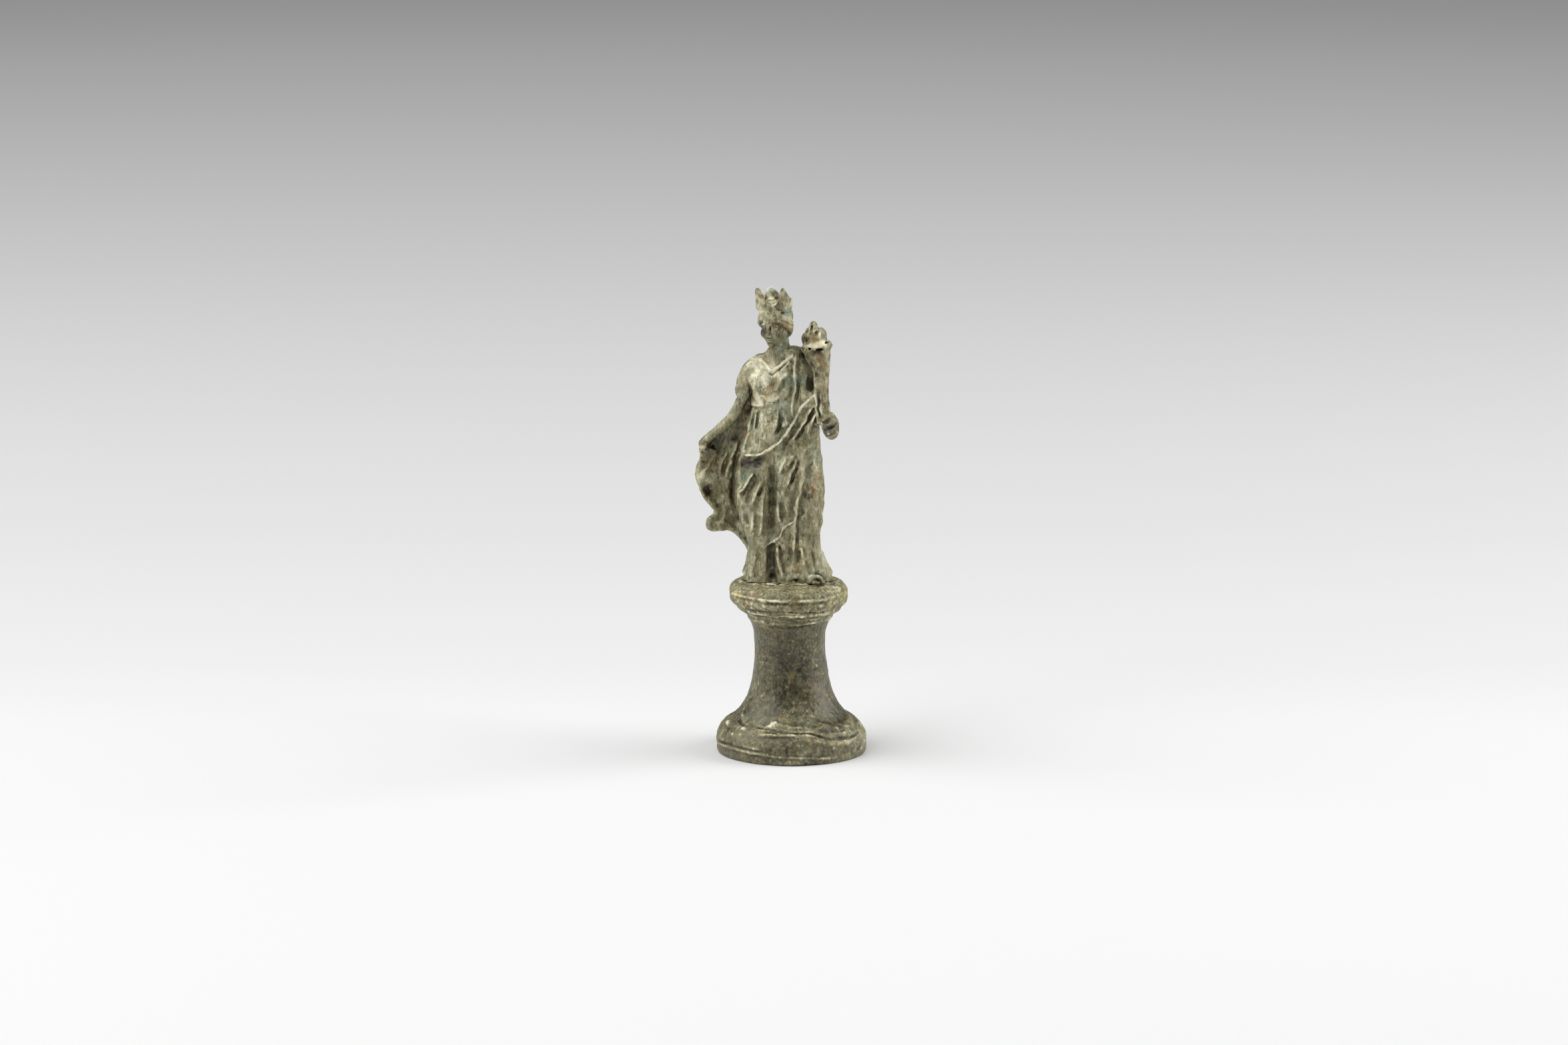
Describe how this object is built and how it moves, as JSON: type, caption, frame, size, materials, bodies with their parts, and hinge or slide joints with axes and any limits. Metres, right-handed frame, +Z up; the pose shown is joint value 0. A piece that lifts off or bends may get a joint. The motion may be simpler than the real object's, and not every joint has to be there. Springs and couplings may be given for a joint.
{
  "type": "goddess statuette",
  "caption": "Small cast figure of a draped, crowned goddess holding a horn of plenty, standing on a spool-shaped moulded pedestal with a flat underside.",
  "frame": {"origin": "centre of the pedestal's round underside, on the surface it stands on", "axes": "+Z up through the figure's height, -Y the way the figure faces, +X towards the viewer's right, on the side of the horn of plenty"},
  "size_m": [0.0441, 0.0388, 0.1203],
  "materials": {
    "figure_bronze": "cast bronze under a mottled grey-green and brown patina, rubbed paler on the ridges and dark in the folds",
    "pedestal_bronze": "cast bronze under a dull olive-brown, pitted patina with earthy deposits"
  },
  "bodies": {
    "root": {"goddess_figure": "figure_bronze", "pedestal": "pedestal_bronze"}
  },
  "joints": []
}
